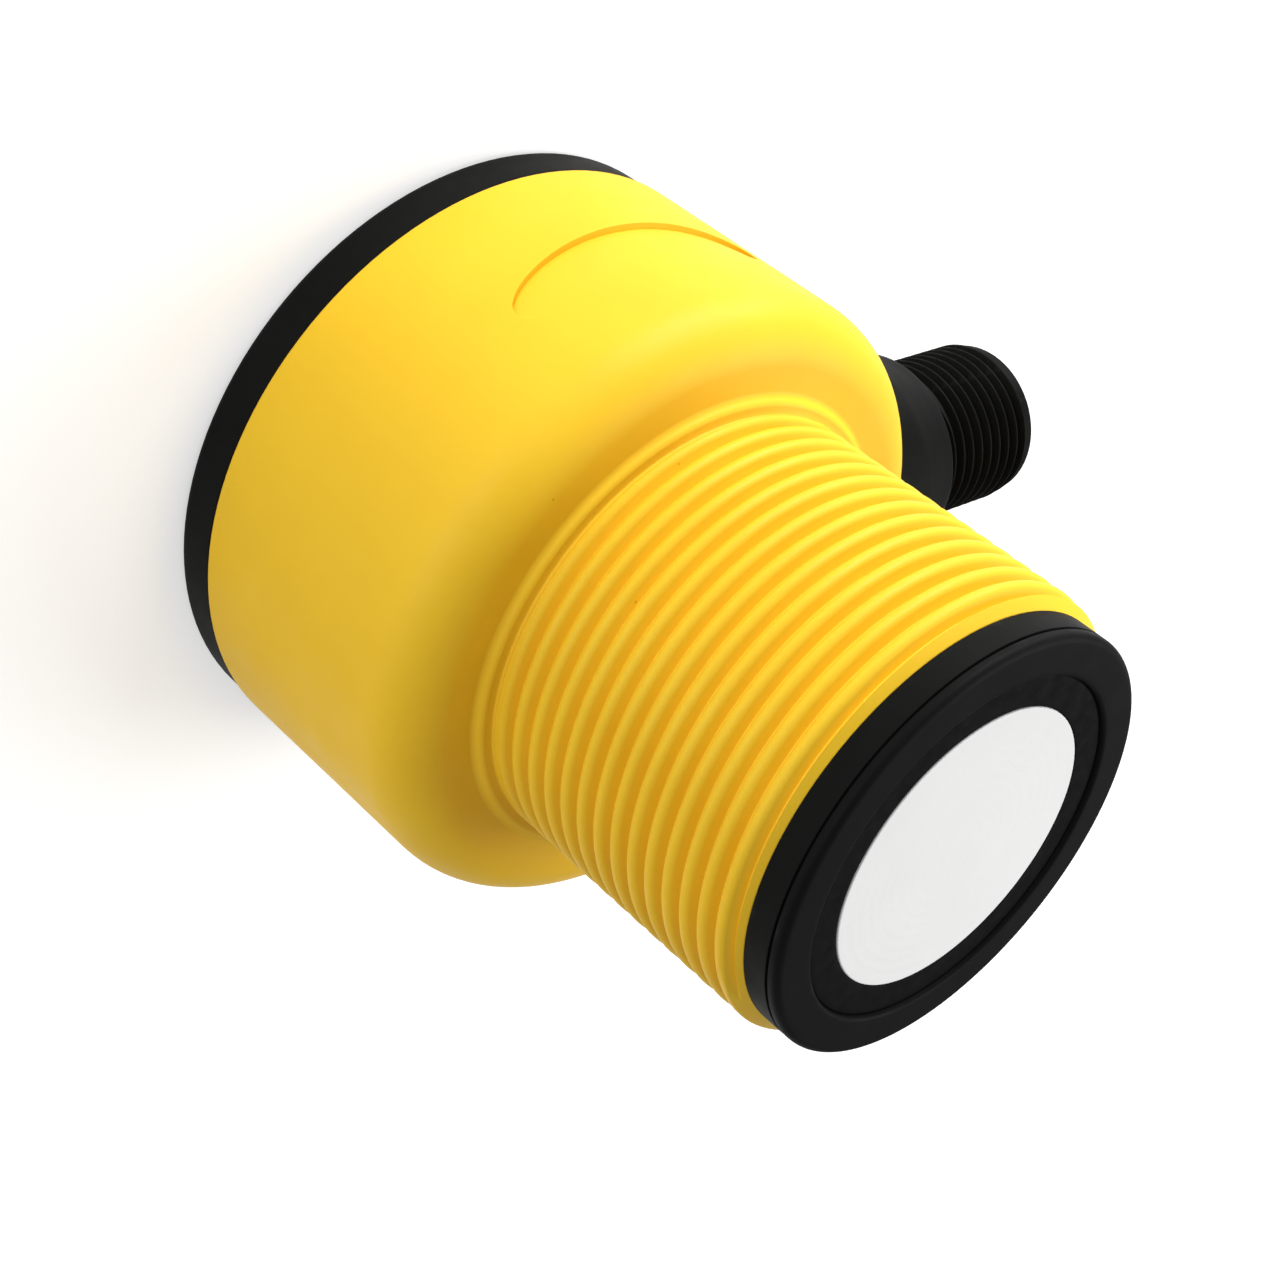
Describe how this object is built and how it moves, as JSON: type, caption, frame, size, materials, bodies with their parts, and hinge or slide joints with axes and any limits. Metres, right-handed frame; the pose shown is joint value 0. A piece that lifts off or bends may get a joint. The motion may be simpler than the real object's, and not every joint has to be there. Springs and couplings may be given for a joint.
{
  "type": "ultrasonic sensor",
  "caption": "Ultrasonic distance sensor with a round head, a threaded barrel that ends in a white transducer face, and a threaded plug connector at the side.",
  "frame": {"origin": "centre of the rear cover's back face, on the barrel's axis", "axes": "+Z along the barrel, towards the transducer face; +Y along the plug connector, away from the head; the finger recesses are at +X and -X"},
  "size_m": [0.0674, 0.0946, 0.0741],
  "materials": {
    "yellow_plastic": "moulded, finely grained, slightly satin",
    "black_plastic": "moulded, satin",
    "black_rubber": "smooth, matt",
    "white_face": "cast and turned flat, matt",
    "grey_key": "moulded, satin",
    "clear_window": "clear, polished",
    "lamp": "clear resin",
    "board": "solder mask, satin",
    "chip": "moulded, matt",
    "screw_steel": "zinc plated",
    "nickel": "nickel plated",
    "gold_contact": "gold plated, polished",
    "copper_wire": "enamelled",
    "ferrite": "sintered, matt",
    "can_sleeve": "shrunk sleeve, glossy",
    "lead_sleeve": "extruded",
    "piezo_silver": "fired silver on ceramic",
    "backing": "cast, filled resin",
    "grey_insert": "moulded, matt"
  },
  "bodies": {
    "sensor_body": {"housing": "yellow_plastic", "rear_cover": "black_plastic", "cover_seal": "black_rubber", "control_board": "board", "board_screws": "screw_steel", "button_seals": "black_rubber", "tact_switches": "chip", "indicator_windows": "clear_window", "status_leds": "lamp", "board_link": "chip", "main_board": "board", "transformer_core": "ferrite", "transformer_winding": "copper_wire", "storage_capacitors": "can_sleeve", "processor_chip": "chip", "amplifier_chip": "chip", "transducer_leads": "lead_sleeve", "backing_block": "backing", "piezo_disc": "piezo_silver", "transducer_face": "white_face", "decoupling_ring": "black_rubber", "front_bezel": "black_plastic", "bezel_seal": "black_rubber", "connector_shell": "black_plastic", "connector_seal": "black_rubber", "connector_nut": "nickel", "connector_insert": "grey_insert", "contact_pins": "gold_contact", "connector_leads": "lead_sleeve"},
    "left_button": {"teach_button_left": "grey_key", "plunger_left": "grey_key"},
    "right_button": {"teach_button_right": "grey_key", "plunger_right": "grey_key"}
  },
  "joints": [
    {"name": "left_button_press", "type": "slide", "parent": "sensor_body", "child": "left_button", "axis": [0, 0, 1], "range_m": [0, 0.0005], "stiffness_N_per_m": 4000, "springref_m": -0.0003},
    {"name": "right_button_press", "type": "slide", "parent": "sensor_body", "child": "right_button", "axis": [0, 0, 1], "range_m": [0, 0.0005], "stiffness_N_per_m": 4000, "springref_m": -0.0003}
  ]
}
